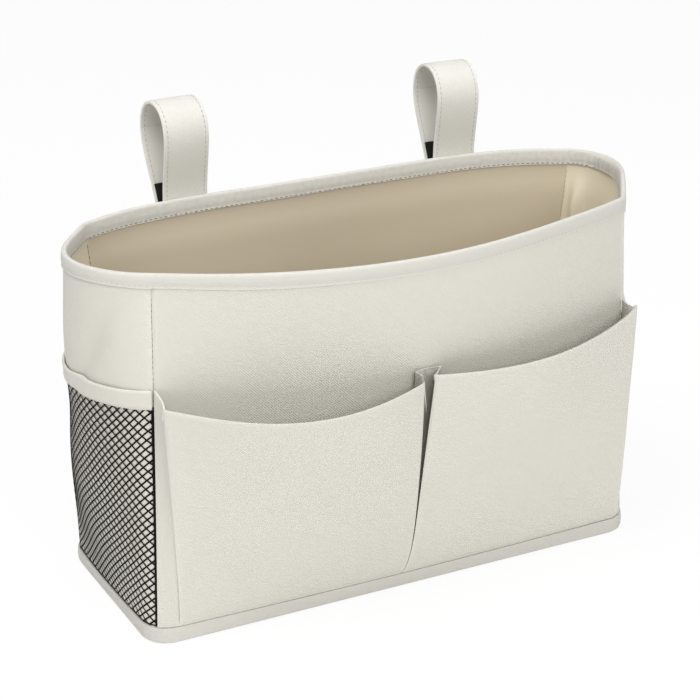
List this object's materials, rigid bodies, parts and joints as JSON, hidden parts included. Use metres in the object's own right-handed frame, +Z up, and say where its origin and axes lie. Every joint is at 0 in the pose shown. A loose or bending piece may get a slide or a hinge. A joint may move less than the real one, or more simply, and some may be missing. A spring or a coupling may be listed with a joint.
{
  "type": "bedside caddy",
  "caption": "Soft open-topped cloth caddy with pleated front pockets, net side pockets and hook-and-loop hanging straps, standing on a stiff base.",
  "frame": {"origin": "centre of the underside of the base, on the surface it stands on", "axes": "+Z up, +X along the front to the right as seen from the front, -Y out of the front"},
  "size_m": [0.3405, 0.1824, 0.2629],
  "materials": {
    "outer_cloth": "off-white twill weave",
    "lining": "smooth tan lining",
    "board": "grey stiffening board",
    "padding": "soft non-woven padding",
    "binding": "off-white binding tape",
    "net": "black knitted net",
    "strap": "off-white doubled cloth strap",
    "hook_tape": "black hook-and-loop tape"
  },
  "bodies": {
    "caddy": {"front_wall": "outer_cloth", "right_wall": "outer_cloth", "back_wall": "outer_cloth", "left_wall": "outer_cloth", "front_board": "board", "back_board": "board", "left_padding": "padding", "right_padding": "padding", "front_lining": "lining", "right_lining": "lining", "back_lining": "lining", "left_lining": "lining", "base_cloth": "outer_cloth", "base_board": "board", "base_lining": "lining", "rim_binding": "binding", "base_binding": "binding", "left_net": "net", "right_net": "net", "left_net_band": "outer_cloth", "right_net_band": "outer_cloth", "left_pocket_gusset": "outer_cloth", "right_pocket_gusset": "outer_cloth", "centre_pleat": "outer_cloth", "left_strap": "strap", "right_strap": "strap", "left_loop_tape": "hook_tape", "right_loop_tape": "hook_tape"},
    "left_pocket": {"left_pocket_face": "outer_cloth"},
    "right_pocket": {"right_pocket_face": "outer_cloth"},
    "left_tail": {"left_strap_tail": "strap", "left_hook_tape": "hook_tape"},
    "right_tail": {"right_strap_tail": "strap", "right_hook_tape": "hook_tape"}
  },
  "joints": [
    {"name": "left_pocket_mouth", "type": "hinge", "parent": "caddy", "child": "left_pocket", "pos_m": [-0.075, -0.0633, 0.0101], "axis": [1, 0, 0], "range_deg": [-3, 6], "stiffness_Nm_per_rad": 0.2, "deforming": ["left_pocket_gusset", "centre_pleat"]},
    {"name": "right_pocket_mouth", "type": "hinge", "parent": "caddy", "child": "right_pocket", "pos_m": [0.07, -0.0633, 0.0101], "axis": [1, 0, 0], "range_deg": [-3, 6], "stiffness_Nm_per_rad": 0.2, "deforming": ["right_pocket_gusset"]},
    {"name": "left_strap_open", "type": "hinge", "parent": "caddy", "child": "left_tail", "pos_m": [-0.08568, 0.04951, 0.26284], "axis": [0.9957, 0.0928, 0], "range_deg": [0, 120]},
    {"name": "right_strap_open", "type": "hinge", "parent": "caddy", "child": "right_tail", "pos_m": [0.08147, 0.04989, 0.26289], "axis": [0.9963, -0.0864, 0], "range_deg": [0, 120]}
  ]
}
